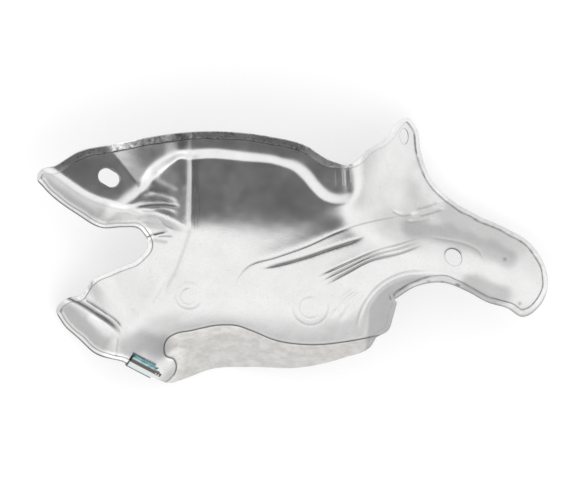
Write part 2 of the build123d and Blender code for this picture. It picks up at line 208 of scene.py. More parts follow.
CREASES = [
    # Diagonal fold across the dome, with its tail turning down
    Crease([(-38.8, -34), (-38.8, -23), (-36, -17), (-31, -11.5), (-12, -5), (9.5, 2.7), (32, 12.9),
            (56, 19.9), (73, 23), (89, 25)], -0.32, 0.6, 0.4),
    Crease([(-24, -12.6), (-9, -9.6), (5, -5.8), (25, 1.0), (39, 5.7), (52, 10.4)], -0.75, 0.9, 0.8),
    # Double bead below it
    Crease([(14, -18.5), (36, -8.8), (53.4, -1.4), (73, 4.4), (91, 10)], -0.28, 0.7, 0.4, 0),
    Crease([(16, -20), (36, -10.5), (53, -2.9), (73, 2.8), (92, 9)], 0.45, 0.9, 0.0, 0),
    Crease([(17, -21.5), (36, -12.2), (52.4, -4.5), (73, 1.1), (91, 7.8)], -0.35, 0.7, 0.45, 5.6),
    Crease([(18, -23), (36, -13.8), (52, -5.9), (73, -0.5), (92, 7)], 0.45, 0.9, 0.0, 0),
    Crease([(19, -24.9), (36, -15.6), (51.7, -7.4), (73, -2.6), (94, 6)], -0.5, 0.8, 0.65, 0),
    # Rings pressed round the two pads
    Crease(arc(*PADS[0], 150, 350), -0.25, 0.8, 0.14),
    Crease(arc(PADS[0][0], 5.8, 60, 320), -0.2, 0.7, 0.12),
    Crease(arc(*PADS[1], 150, 400), -0.25, 0.8, 0.14),
    Crease(arc(PADS[1][0], 7.5, 40, 330), -0.18, 0.7, 0.10),
    # Wrinkles where the fold runs out under the tab
    Crease([(66, 27), (74, 23.5), (83, 24.5)], -0.8, 1.2, 0.35),
    Crease([(81, 25.5), (93, 28.2), (105, 32)], 1.0, 1.3, 0.0),
    Crease([(82, 27.4), (92, 29.8), (101, 33.4)], -0.7, 0.9, 0.3),
    Crease([(84, 22.4), (94.5, 25.2), (104, 28.3)], -0.9, 1.0, 0.35),
    Crease([(78, 21), (88, 21.6), (98, 24.6)], 0.8, 1.3, 0.0),
    Crease([(74, 18.8), (86, 19.4), (97, 21.8)], -0.6, 1.0, 0.2),
    # Turn of the shelf into the nose
    Crease([(-92, 45), (-100.6, 38.4), (-106.6, 33.4), (-113, 28.5), (-121, 24)], 0.9, 4.2, 0.0),
    # Pleats gathered between the nose and the ridge
    Crease([(-106, 34.6), (-97, 36.6), (-88, 35.4), (-77, 31.4)], -0.2, 1.9, 0.25),
    Crease([(-100, 42), (-92, 40), (-84, 37.4), (-74, 32.6)], 0.2, 2.5, 0.0),
    Crease([(-110, 27.4), (-104, 29.2), (-96, 30.4), (-87, 30.6), (-74, 28.6)], -0.4, 1.5, 1.0),
    Crease([(-106, 26.7), (-97, 26.0), (-90, 27.4), (-78, 24.5)], -0.35, 1.4, 0.3),
    Crease([(-110, 19.4), (-103, 21.8), (-97, 22.8), (-90, 20.7), (-85, 18), (-77, 14.6)], -0.5, 1.7, 0.2),
    Crease([(-91, 21.5), (-86, 16.3), (-79, 13.4)], -0.7, 1.1, 0.4),
    # Streaks at the foot of the ridge and on the flange over the shelf's turn
    Crease([(-68.4, 62), (-68.4, 32), (-68.6, 12)], -0.1, 0.6, 0.75),
    Crease([(-66.8, 48), (-66.6, 28), (-66.8, 13)], -0.08, 0.5, 0.75),
    Crease([(-65.0, 42), (-64.8, 28), (-65.0, 15)], -0.08, 0.5, 0.7),
    Crease([(29.2, 57), (29.6, 41)], -0.06, 0.7, 0.25),
    Crease([(32.6, 58), (33.2, 42)], 0.06, 0.7, 0.0),
    Crease([(35.6, 58), (36.2, 42)], -0.08, 0.7, 0.3),
    Crease([(38.0, 58), (38.6, 44)], 0.06, 0.7, 0.0),
    # Ridge running out across the body
    Crease([(-70.2, 24), (-72.4, 14), (-75.6, 5), (-78.4, -4), (-82.4, -13), (-88, -24), (-96, -37),
            (-104, -49)], 0.7, 2.4, 0.0),
    Crease([(-67.4, 22), (-69.6, 13), (-72.4, 5), (-74.9, -2), (-78.8, -12), (-83.4, -20), (-90, -31)],
           -0.35, 1.5, 0.18),
    # Pale pleat over the others
    Crease([(-94, 50.4), (-87, 47.4), (-80, 44), (-73, 39.6)], 0.3, 2.6, 0.0),
    # Pucker at the head of the notch
    Crease([(-101, 7.6), (-96, 9.9), (-92, 10.9), (-85, 12.4)], -1.1, 0.7, 1.0),
    Crease([(-93, 8.8), (-87, 9.2), (-81, 8.8)], -0.5, 0.7, 0.5),
    Crease([(-98, 7.3), (-92, 6.1), (-84, 4.6)], -0.6, 1.2, 0.3),
    # Rolled edge of the flap and the groove under it
    Crease([(-150, -31), (-138, -37.6), (-128, -44.4), (-122.4, -48), (-118.3, -52.4), (-116.8, -59)],
           0.6, 1.3, 0.0),
    Crease([(-166, -26), (-153, -32.5), (-143.5, -37.4), (-134.6, -42.8), (-124.4, -49.6), (-116, -60)],
           -1.3, 1.5, 1.0),
    Crease([(-119.3, -58), (-119.7, -68), (-120, -77)], -0.3, 0.7, 0.2),
    # Sharp fold between the body and the skirt
    Crease([(-120, -108), (-92, -93), *SKIRT_FOLD, (57, -58.6), (100, -60)], -0.9, 0.7, 1.0),
    # Soft drawing marks round the flange
    Crease([(25, -47), (35.4, -34), (48, -25)], -0.45, 1.6, 0.0),
    Crease([(28, -42), (35, -32), (43, -26)], 0.35, 1.4, 0.0),
    Crease([(31, -50), (40, -36.7), (52, -27)], -0.45, 1.6, 0.0),
    Crease([(43.6, -62), (44.4, -48), (49, -36), (58, -25), (70, -17.6), (84, -14.2), (98, -14)],
           -0.5, 0.9, 0.15),
    # Nicks in the wide strip under the wing
    Crease([(99.6, -20.6), (101.8, -21.2), (104, -20.9)], -0.15, 0.5, 0.8),
    Crease([(110.2, -22), (112.4, -23), (114.2, -24.2)], -0.15, 0.5, 0.8),
    Crease([(90.5, -20.4), (92.4, -20.6), (94.2, -20.4)], -0.1, 0.4, 0.5),
    # Seat pressed round the wing hole
    Crease([(92, 9), (104, 7), (118, 4), (127, -1), (131, -8)], -0.35, 0.8, 0.15),
]
CREASE_REACH = 4
# Dents, each a middle and a radius, with their depth and the painted shade in them
DENTS = [((144.8, -6.1), 1.1), ((155.0, -36.7), 1.0)]
DENT_DEPTH = 0.4
DENT_SHADE = 0.6

# Soft waves of the sheet, broad and small, then of the skirt, the hem's width, the patches and the crinkles
Wave = namedtuple("Wave", "size length")
WAVE_COUNT = 7
BROAD_WAVE = Wave(0.05, 26)
SMALL_WAVE = Wave(0.015, 9)
SKIRT_WAVE = Wave(0.10, 7)
HEM_WAVE = Wave(0.25, 14)
SHADE_WAVE = Wave(0.15, 21)
CRINKLES = (Wave(0.10, 3.2), Wave(0.10, 6.0))

# Painted shade and painted highlight, in place of darker and brighter reflections: a line, its half width,
# and how much it takes from the tone
PaintedLight = namedtuple("PaintedLight", "line half_width amount")
PAINTED_LIGHT_PATCHES = [
    # Wing: over its hole, and by its lower edge
    PaintedLight([(80, 15.5), (98, 12), (113, 8.5), (129, 2), (146, -5)], 6.8, 0.27),
    PaintedLight([(121, -24), (131, -27), (142, -30)], 7.5, 0.34),
    # Tab, and the right side of its foot
    PaintedLight([(62, 40), (70, 60), (76, 80)], 15.0, -0.30),
    PaintedLight([(88, 50), (93, 41), (99, 34)], 6.5, -0.22),
    # Nose: its lower left edge, and the metal under it by the notch
    PaintedLight([(-168, 44), (-150, 31), (-140, 25)], 5.5, 0.30),
    PaintedLight([(-122, 26), (-112, 24.5), (-105, 21)], 5.5, -0.3),
    # Flap: its outer part, and beside the groove
    PaintedLight([(-153, -45), (-142, -57), (-128, -68)], 8.0, 0.24),
    PaintedLight([(-137, -47), (-127, -56)], 3.5, -0.22),
    # Body over the clip
    PaintedLight([(-112, -67), (-102, -62), (-90, -66)], 8.5, 0.34),
    # Foot of the ridge, and the wedge left of it
    PaintedLight([(-66.2, 62), (-66, 36), (-66, 18)], 2.6, 0.18),
    PaintedLight([(-85, 51), (-79, 40), (-78, 30)], 6.0, -0.38),
    # Upper side of the wing
    PaintedLight([(104, 26), (122, 17), (140, 8), (152, 0)], 7.5, 0.10),
    # Right of the clip
    PaintedLight([(-93, -83), (-85, -78)], 5.0, -0.25),
    # Shelf left of the ridge, the facet, and the flange between them
    PaintedLight([(-90, 55.8), (-82, 61.6), (-74, 65.4)], 3.4, -0.14),
    PaintedLight([(-114, 72), (-108, 63), (-102, 53)], 7.0, -0.32),
    PaintedLight([(-92, 68), (-84, 71), (-77, 73)], 5.5, 0.32),
]
SHADE_FALL = 4

# Painted shade on the flange's side, a painted highlight band under the skirt's fold, and painted shade and
# painted highlight on the hem
FLANGE_SHADE = 0.28
FLANGE_SHADE_EDGE = 2.5
FLANGE_SHADE_FROM = (38.0, 44.0)
STRIP_FROM = (74.0, 84.0)
SKIRT_BRIGHT = 0.12
SKIRT_BAND_FROM = (0.4, 1.2)
SKIRT_BAND_END = (5.0, 6.5)
SKIRT_BRIGHT_FROM = (-90.0, -84.0)
SKIRT_BRIGHT_END = (-40.0, -25.0)
UPPER_HEM_SHADE = 0.30
BRIGHT_HEM_PATCH = 0.45
BRIGHT_HEM_AT = -114.0
BRIGHT_HEM_REACH = 11.0
HEM_BRIGHT = 0.12
PALE_HEM = 0.45
PALE_PAST_HEM = (0.8, 2.2)

# Folded hem: its width, wider along the top, at the end of the lobe and on the strip under the wing
HEM_WIDTH = 3.1
HEM_EXTRA_TOP = 2.1
HEM_TOP_FROM = (-170.0, -162.0)
HEM_TOP_END = (22.0, 34.0)
HEM_TOP_ABOVE = (44.0, 52.0)
HEM_EXTRA_LOBE = 1.8
LOBE_END = (160.0, -42.0)
LOBE_SPREAD = 20.0
HEM_EXTRA_STRIP = 1.6
STRIP_MIDDLE = (103.0, -22.0)
STRIP_SPREAD = 13.0
FLANGE_HEM = 0.25

# Section of the hem: its round outer edge, raw inner edge and crinkles, flatter along the lower left edge
HEM_BEND = 0.4
HEM_BLUNT = 0.02
HEM_STEP = 0.12
CRINKLE_FROM = (0.3, 1.0)
LOWER_FACING = (0.1, 0.5)
LOWER_LEFT = (40.0, 80.0)
LOWER_FLATTER = 0.55
UPPER_FROM = (54.0, 60.0)
UPPER_END = (0.0, 20.0)
LEAST_STIPPLE = 0.15

# Painted shade at the foot of the hem, on its outer edge and on the rims of the holes, and a painted shadow
# over the wing hole
FOOT_REACH = 0.3
FOOT_REACH_UPPER = 0.15
FOOT_SHADE = 0.45
FOOT_SHADE_UPPER = 0.55
FOOT_SHADE_LOWER = 0.25
OUTSIDE_SHADE = 0.5
OUTSIDE_SHADE_LEFT = 0.4
OUTSIDE_EDGE = (0.1, 0.8)
RIM_ROUND = 0.12
RIM_REACH = 0.25
RIM_SHADE = 0.5
HOLE_SHADOW = 0.9
HOLE_SHADOW_REACH = 0.8
HOLE_SHADOW_ABOVE = (0.5, 4.0)
SLOT_SHADE = 0.9
SLOT_SHADE_REACH = 0.5
SLOT_SHADE_LEFT = (100.0, 105.0)

# Mesh: the spacing of its points in the open, along the edge and the creases, and round the holes
MESH_STEP = 1.2
GRID_CLEAR = 0.6
FINE_GAP = 0.22
EDGE_STEP = 1.0
EDGE_CLEAR = 1.3
ROW_SLACK = 0.04
CREASE_STEP = 0.9
SPAN_STEP = 0.4
RIM_STEP = 0.8
RIM_POINTS = 24
RIM_CLEAR = 0.6
FAR_FROM_RIM = 9.0
PROBE = 0.5
BLOCK_POINTS = 1500
MEET_GAP = 1e-5
INSIDE_ONLY = 1
SHARP_ANGLE = 55.0
BOX_MARGIN = 2e-5

# Rows of points along the edge, as shares of the hem's width and added millimetres
EDGE_ROWS = [
    (0, 0), (0, 0.12), (0, 0.35), (0, 0.75), (0.45, 0), (0.72, 0), (1, -HEM_STEP - 0.3), (1, -HEM_STEP),
    (1, HEM_STEP), (1, HEM_STEP + 0.35), (1, EDGE_CLEAR),
]
# Rows round a hole, in added millimetres, and along a crease, in shares of its half width
RIM_ROWS = [0.0, 0.2, 0.6, 1.3]
CREASE_ROWS = [0.0, 0.55, -0.55, 1.15, -1.15, 2.0, -2.0]

# Colours of the sheet: the two tones of its mottle, its grain and specks, the duller skirt, and the dark
# colour of painted shade and of the hem's dots
MOTTLE = ((0.595, 0.595, 0.592, 1), (0.655, 0.655, 0.652, 1))
GRAIN = (0.40, 0.40, 0.398, 1)
SPECK = (0.45, 0.45, 0.44, 1)
SKIRT_MOTTLE = ((0.54, 0.53, 0.51, 1), (0.68, 0.665, 0.645, 1))
SHADE_AND_SPECK_COLOUR = (0.035, 0.035, 0.034, 1)

# Spring clip: where it sits on the edge, the edge's run there, and its colours inward from a dark outer line
# of painted shade on its bend.
# Each band has the start and end of its change and its colour, none for the mottled teal.
CLIP_EDGE_AT = (-105.5, -81.9)
CLIP_RUN = (20.5, -11.0)
SHADED_BEND = ((0.05, 0.05, 0.05, 1), (0.03, 0.03, 0.03, 1))
TEAL = ((0.16, 0.34, 0.40, 1), (0.36, 0.58, 0.60, 1))
CLIP_BANDS = [
    (-1.0, -0.6, (0.62, 0.66, 0.67, 1)),
    (2.4, 2.8, (0.13, 0.105, 0.085, 1)),
    (4.8, 5.3, None),
    (7.4, 8.2, (0.55, 0.58, 0.58, 1)),
]

# Surroundings: the floor and its lift to white, and light that is dark in a cone straight above the sheet
FLOOR_REACH = 6.0
FLOOR_GREY = (0.45, 0.45, 0.45, 1)
FLOOR_LIFT = 0.57
DARK_CONE = (37.0, 18.0)
SIDE_CONE = 66.0
LOW_LIGHT = (0.92, 0.92, 0.92, 1)
SIDE_LIGHT = (1.45, 1.45, 1.45, 1)
TOP_LIGHT = (0.17, 0.17, 0.172, 1)

# Camera: the photograph's frame, its scale, the pixel over the plan's origin, and a long lens
PHOTO_SIZE = (575, 500)
MM_PER_PIXEL = 0.68
ORIGIN_PIXEL = (293.0, 250.0)
FOCUS_HEIGHT = 25.0
CAMERA_DISTANCE = 8.0


def spans(points):
    """Control points of the smooth cubic spans through a row of points."""
    p = np.array(points, float)
    run = np.diff(p, axis=0)
    length = np.hypot(run[:, 0], run[:, 1])[:, None]
    run = run / length
    middle = run[:-1] * length[1:] + run[1:] * length[:-1]
    middle = middle / np.hypot(middle[:, 0], middle[:, 1])[:, None]
    heading = np.vstack([run[:1], middle, run[-1:]]) / 3
    return np.stack([p[:-1], p[:-1] + heading[:-1] * length, p[1:] - heading[1:] * length, p[1:]], axis=1)


def smooth_line(points, steps=6):
    """Points along the smooth curve through a row of points."""
    t = np.linspace(0, 1, steps, endpoint=False)[:, None]
    weights = ((1 - t) ** 3, 3 * t * (1 - t) ** 2, 3 * t**2 * (1 - t), t**3)
    rows = [sum(w * c for w, c in zip(weights, span)) for span in spans(points)]
    return np.vstack(rows + [np.array(points[-1:], float)])


def beside(x, y, points):
    """Distance to the right of a line, and how far along the line, from 0 to 1."""
    line = smooth_line(points)
    run = np.diff(line, axis=0)
    length = np.hypot(run[:, 0], run[:, 1])
    start = np.concatenate([[0], np.cumsum(length)])
    nearest = np.full(x.shape, np.inf)
    offset = np.zeros(x.shape)
    way = np.zeros(x.shape)
    for (ax, ay), (rx, ry), size, before in zip(line, run, length, start):
        t = np.clip(((x - ax) * rx + (y - ay) * ry) / size**2, 0, 1)
        gap = np.hypot(x - ax - t * rx, y - ay - t * ry)
        closer = gap < nearest
        side = np.where(rx * (y - ay) - ry * (x - ax) > 0, -1, 1)
        nearest = np.where(closer, gap, nearest)
        offset = np.where(closer, side * gap, offset)
        way = np.where(closer, (before + t * size) / start[-1], way)
    return offset, way


def ramp(distance, radius):
    """A slope of 1 that starts at zero distance with a soft bend."""
    return (distance + np.sqrt(distance**2 + radius**2)) / 2


def ease(value, low, high):
    """0 below low, 1 above high, with a smooth rise between."""
    t = np.clip((value - low) / (high - low), 0, 1)
    return t * t * (3 - 2 * t)


def between(value, start, end):
    """1 between two stretches, with a smooth rise over the first and a smooth fall over the second."""
    return ease(value, *start) * (1 - ease(value, *end))


def run_out(way, share):
    """1 along a line, running out to 0 over a share of its length at both ends."""
    return ease(way, 0, share) * ease(1 - way, 0, share)


def step(distance, band, bends):
    """A rise with a slope of 1 across a band, with a bend of its own at each end."""
    return ramp(distance - band[0], bends[0]) - ramp(distance - band[1], bends[1])


def fall(x, y, fold):
    """Fall of the sheet past a bend line."""
    return fold.slope * ramp(beside(x, y, fold.line)[0], fold.radius)


def wing_fall(x, y):
    """Fall past the bend lines of the wing and of the tab, which meet in a rounded corner."""
    wing, side = beside(x, y, WING.line)[0], beside(x, y, TAB_SIDE.line)[0]
    meet = np.maximum(1 - np.abs(wing - side) / WING_MEET, 0)
    past = np.minimum(wing, side) - WING_MEET / 4 * meet**2
    return WING.slope * ramp(past, WING.radius + (TAB_SIDE.radius - WING.radius) * ease(y, *TAB_SIDE_FROM))


def nose_fall(x, y):
    """Fall past the nose or past the notch, whichever is less, with a rounded valley between them."""
    off_nose = beside(x, y, NOSE.line)[0]
    below_band = NOSE_BAND * NOSE_BAND_SLOPE / NOSE.slope
    nose = NOSE_BAND_SLOPE * ramp(off_nose + NOSE_BAND - below_band, NOSE.radius)
    nose = nose + (NOSE.slope - NOSE_BAND_SLOPE) * ramp(off_nose - below_band, NOSE.radius)
    return np.maximum(0, nose - ramp(nose - fall(x, y, NOTCH), VALLEY_RADIUS))


def shoulder_rise(x, y):
    """Rise over the panel and the ridge, which falls again past the ridge."""
    off_ridge = beside(x, y, RIDGE_LINE)[0]
    ridge = RIDGE_SLOPE * step(off_ridge, (0, RIDGE_WIDTH), RIDGE_BENDS)
    rise = ridge + (SHOULDER_RISE - RIDGE_SLOPE * RIDGE_WIDTH) * ease(off_ridge, -RIDGE_SPREAD, 0)
    past_ridge = np.maximum(off_ridge - RIDGE_WIDTH / 2, 0)
    bend = SHOULDER_BEND * ease(off_ridge, 0, SHOULDER_BEND_REACH)
    return ramp(rise - SHOULDER_FALL * past_ridge, bend) * ease(y, *SHOULDER_END)


def shelf_edge(x, edge):
    """Distance of an edge of the shelf's band to the left of the shelf line."""
    left = edge.left_shift * ease(-x, *edge.left_from) * (1 - edge.nose_share * ease(-x, *SHELF_NOSE))
    return edge.at + left + edge.turn_shift * ease(x, *SHELF_TURN)


def on_flange(x, y):
    """1 on the flat flange outside the shelf line, 0 on the dome."""
    band = (shelf_edge(x, SHELF_INNER), shelf_edge(x, SHELF_OUTER))
    return step(-beside(x, y, SHELF_LINE)[0], band, SHELF_BENDS) / (band[1] - band[0])


def height(x, y):
    """Height of the sheet's domed face over the plan."""
    z = CROWN - LOBE_SLOPE * ramp(x - LOBE_START, LOBE_RADIUS)
    for fold in (BODY, ROLL, SKIRT, FLANGE, FLAP):
        z = z - fall(x, y, fold)
    z = z - wing_fall(x, y)
    z = z - FLAP_TIP_SLOPE * ramp(beside(x, y, FLAP.line)[0] - FLAP_TIP_INSET, FLAP.radius)
    z = z - fall(x, y, TAB) * ease(y, *TAB_START)
    z = z - nose_fall(x, y)
    flange = on_flange(x, y)
    left = between(-x, SHELF_LEFT, SHELF_LEFT_END)
    spread = ease(-beside(x, y, SHELF_LINE)[0], 0, SHELF_SPREAD * (1 + LEFT_SPREAD * left)) - flange
    share = SPREAD_SHARE + LEFT_SHARE * left
    z = z + shoulder_rise(x, y) * (1 - flange - share * spread)
    drop = SHELF_DROP * (1 + TURN_DROP * ease(x, *SHELF_TURN) - LEFT_DROP * left) * (1 - ease(x, *SHELF_END))
    z = z - drop * (flange + share * left * spread)
    for line, bead_height in BEADS:
        off_bead, way = beside(x, y, line)
        z = z + bead_height * run_out(way, RUN_OUT) * np.exp(-((off_bead / BEAD_HALF_WIDTH) ** 2))
    for (px, py), radius in PADS:
        z = z + PAD_HEIGHT * ease(-np.hypot(x - px, y - py), -radius - PAD_EDGE / 2, PAD_EDGE / 2 - radius)
    return z


def waves(x, y, wave):
    """Soft irregular waves: a sum of sines of spread headings and lengths."""
    total = np.zeros(x.shape)
    for k in range(WAVE_COUNT):
        turn = 2.4 * k + 0.3
        size = wave.length * (0.7 + 0.13 * k)
        total += np.sin((x * math.cos(turn) + y * math.sin(turn)) * 2 * math.pi / size + 1.7 * k * k)
    return wave.size * total / (WAVE_COUNT / 2)


def facet_fall(x, y):
    """Depth of the facet on the flange, which levels out and comes back towards the ridge."""
    beyond = np.maximum(beside(x, y, FACET_LINE)[0], 0)
    depth = FACET_SLOPE * (beyond + ramp(-FACET_WIDTH, FACET_BEND) - ramp(beyond - FACET_WIDTH, FACET_BEND))
    depth = np.maximum(depth - FACET_RETURN * ramp(beyond - FACET_WIDTH - FACET_FLAT, FACET_FLAT), 0)
    return depth * on_flange(x, y) * ease(-x, *SHELF_LEFT)


def swell_rise(x, y):
    """Height of the low swell over the flap."""
    off_swell, way = beside(x, y, SWELL_LINE)
    flank = np.where(off_swell > 0, *SWELL_FLANKS)
    return SWELL_HEIGHT * np.exp(-((off_swell / flank) ** 2)) * run_out(way, SWELL_RUN_OUT)


def below_skirt(x, y):
    """1 on the skirt, 0 on the body."""
    return ease(beside(x, y, SKIRT.line)[0], *SKIRT_FROM) * (1 - ease(x, *SKIRT_END))


def press_marks(x, y):
    """Height of the fine creases, the facet, the dents, the swell and the soft waves, and the painted shade
    in the creases and dents.
    """
    rise, grime = np.zeros(x.shape), np.zeros(x.shape)
    for crease in CREASES:
        reach = CREASE_REACH * crease.half_width
        low, high = np.min(crease.line, axis=0) - reach, np.max(crease.line, axis=0) + reach
        near = (x > low[0]) & (x < high[0]) & (y > low[1]) & (y < high[1])
        off, way = beside(x[near], y[near], crease.line)
        section = run_out(way, RUN_OUT) * np.exp(-((off / crease.half_width) ** 2))
        rise[near] += crease.rise * section
        # Painted shade darkens the crease along its section
        grime[near] = np.maximum(grime[near], crease.grime * section**2)
    rise -= facet_fall(x, y)
    for (px, py), radius in DENTS:
        dent = np.exp(-(((x - px) ** 2 + (y - py) ** 2) / radius**2))
        rise -= DENT_DEPTH * dent
        # Painted shade in the dent
        grime = np.maximum(grime, DENT_SHADE * dent)
    rise += swell_rise(x, y)
    rise += waves(x, y, BROAD_WAVE) + waves(y, x, SMALL_WAVE) + waves(x, y, SKIRT_WAVE) * below_skirt(x, y)
    return rise, grime


# Laying down: the turn that brings the plan's REST_DOWN direction down
rest_up = -Vector(REST_DOWN).normalized()
rest_across = (Vector((1, 0, 0)) - rest_up * rest_up.x).normalized()
TURN = np.array([rest_across, rest_up.cross(rest_across), rest_up])


def laid_down(points):
    """Plan points in millimetres, laid down in the part's frame in metres."""
    return (np.asarray(points) @ TURN.T + np.array(REST_SHIFT)) / 1000


def lengths_along(line):
    """Distance of each point of a row along the row."""
    return np.concatenate([[0], np.cumsum(np.hypot(*np.diff(line, axis=0).T))])


def points_at(stops, length, line):
    """Points at given distances along a row of points."""
    return np.stack([np.interp(stops, length, line[:, k]) for k in (0, 1)], axis=1)


def rightward(run):
    """Headings of unit length, square to the runs and to their right."""
    return np.stack([run[:, 1], -run[:, 0]], axis=1) / np.hypot(run[:, 0], run[:, 1])[:, None]


def outline_samples():
    """Evenly spaced points round the outline, their inward headings, and 1 where the edge is hemmed."""
    groups = [(UPPER_EDGE, 1), (FLANGE_EDGE, FLANGE_HEM), (SKIRT_EDGE, 0), (FLAP_EDGE, 1), (NOTCH_EDGE, 1)]
    rows = [smooth_line(points, steps=12) for points, _ in groups]
    hemmed = np.concatenate([np.full(len(row), float(hem)) for row, (_, hem) in zip(rows, groups)])
    loop = np.vstack(rows + [rows[0][:1]])
    hemmed = np.append(hemmed, hemmed[0])
    length = lengths_along(loop)
    stops = np.linspace(0, length[-1], round(length[-1] / EDGE_STEP), endpoint=False)
    points = points_at(stops, length, loop)
    inward = rightward(np.roll(points, -2, axis=0) - np.roll(points, 2, axis=0))
    return points, inward, np.interp(stops, length, hemmed)


def near_spot(x, y, spot, spread):
    """1 at a spot, falling to 0 round it."""
    return np.exp(-((x - spot[0]) ** 2 + (y - spot[1]) ** 2) / spread**2)


def hem_widths(points):
    """Width of the hem at each point of the outline."""
    x, y = points.T
    wider = HEM_EXTRA_TOP * between(x, HEM_TOP_FROM, HEM_TOP_END) * ease(y, *HEM_TOP_ABOVE)
    wider = wider + HEM_EXTRA_LOBE * near_spot(x, y, LOBE_END, LOBE_SPREAD)
    wider = wider + HEM_EXTRA_STRIP * near_spot(x, y, STRIP_MIDDLE, STRIP_SPREAD)
    return HEM_WIDTH + wider + waves(x, y, HEM_WAVE)


def to_outline(points, outline):
    """Distance of each point to the nearest outline sample, and that sample's number."""
    distance, number = [], []
    for block in np.array_split(points, max(1, len(points) // BLOCK_POINTS)):
        gaps = np.hypot(block[:, None, 0] - outline[None, :, 0], block[:, None, 1] - outline[None, :, 1])
        number.append(gaps.argmin(axis=1))
        distance.append(gaps.min(axis=1))
    return np.concatenate(distance), np.concatenate(number)


def inside(points, loop):
    """True for points inside a closed loop."""
    x, y = points.T
    within = np.zeros(len(points), bool)
    for (ax, ay), (bx, by) in zip(loop, np.roll(loop, -1, axis=0)):
        if ay != by:
            crosses = ((ay > y) != (by > y)) & (x < (bx - ax) * (y - ay) / (by - ay) + ax)
            within ^= crosses
    return within


def hole_rim(hole, added=0.0):
    """Plan points round a hole, or a slot with a straight run, drilled square to the sheet and made wider."""
    x, y = np.array(hole.at[:1]), np.array(hole.at[1:])
    along = ((height(x + PROBE, y) - height(x - PROBE, y)) / (2 * PROBE))[0]
    up = ((height(x, y + PROBE) - height(x, y - PROBE)) / (2 * PROBE))[0]
    level = Vector((1, 0, along)).normalized()
    facing = Vector((-along, -up, 1)).normalized()
    turned = Matrix.Rotation(math.radians(hole.lean), 3, facing)
    first, second = turned @ level, turned @ facing.cross(level)
    radius = hole.radius + added
    count = max(RIM_POINTS, round(2 * math.pi * radius / RIM_STEP))
    angle = np.arange(count) * 2 * math.pi / count + math.pi / count
    u = radius * np.cos(angle) + hole.half_run * np.sign(np.cos(angle))
    v = radius * np.sin(angle)
    return np.stack([x[0] + u * first.x + v * second.x, y[0] + u * first.y + v * second.y], axis=1)


def crease_points():
    """Rows of points along every crease, so the mesh follows its section."""
    rows = []
    for crease in CREASES:
        line = smooth_line(crease.line, steps=24)
        length = lengths_along(line)
        stops = np.linspace(0, length[-1], max(4, round(length[-1] / CREASE_STEP)))
        at = points_at(stops, length, line)
        side = rightward(np.gradient(at, axis=0))
        if crease.span is None:
            rows += [at + side * share * crease.half_width for share in CREASE_ROWS]
        else:
            rows += [at + side * off for off in np.arange(SPAN_STEP - crease.span, crease.span, SPAN_STEP)]
    return np.vstack(rows)


def spaced(points, gap):
    """Points kept in order so that none is nearer than the gap to one kept before it."""
    kept, cells = [], {}
    for x, y in points.tolist():
        cell = (math.floor(x / gap), math.floor(y / gap))
        near = (q for i in (-1, 0, 1) for j in (-1, 0, 1) for q in cells.get((cell[0] + i, cell[1] + j), ()))
        if all((q[0] - x) ** 2 + (q[1] - y) ** 2 >= gap * gap for q in near):
            cells.setdefault(cell, []).append((x, y))
            kept.append((x, y))
    return np.array(kept)


def open_points(outline):
    """Points inside the outline: fine rows along the creases, and an even grid clear of them."""
    low, high = outline.min(axis=0), outline.max(axis=0)
    across = np.arange(low[0], high[0], MESH_STEP)
    grid = []
    for k, y in enumerate(np.arange(low[1], high[1], MESH_STEP * math.sqrt(3) / 2)):
        grid.append(np.stack([across + (k % 2) * MESH_STEP / 2, np.full(len(across), y)], axis=1))
    grid = np.vstack(grid)
    fine = spaced(crease_points(), FINE_GAP)
    tree = KDTree(len(fine))
    for k, (x, y) in enumerate(fine.tolist()):
        tree.insert((x, y, 0), k)
    tree.balance()
    clear = [tree.find((x, y, 0))[2] > GRID_CLEAR * MESH_STEP for x, y in grid.tolist()]
    points = np.vstack([fine, grid[clear]])
    return points[inside(points, outline)]


def closed_loop(first, count):
    """Edges that join a run of numbered points into a loop."""
    return [(first + k, first + (k + 1) % count) for k in range(count)]


# Plan of the sheet: points and triangles, and each point's distance from the edge and from a hole's rim. The
# hem's width and share there, and how far up the sheet is inward, are those of the nearest place on the edge.
Plan = namedtuple("Plan", "points faces depth rim width hemmed inward_up")


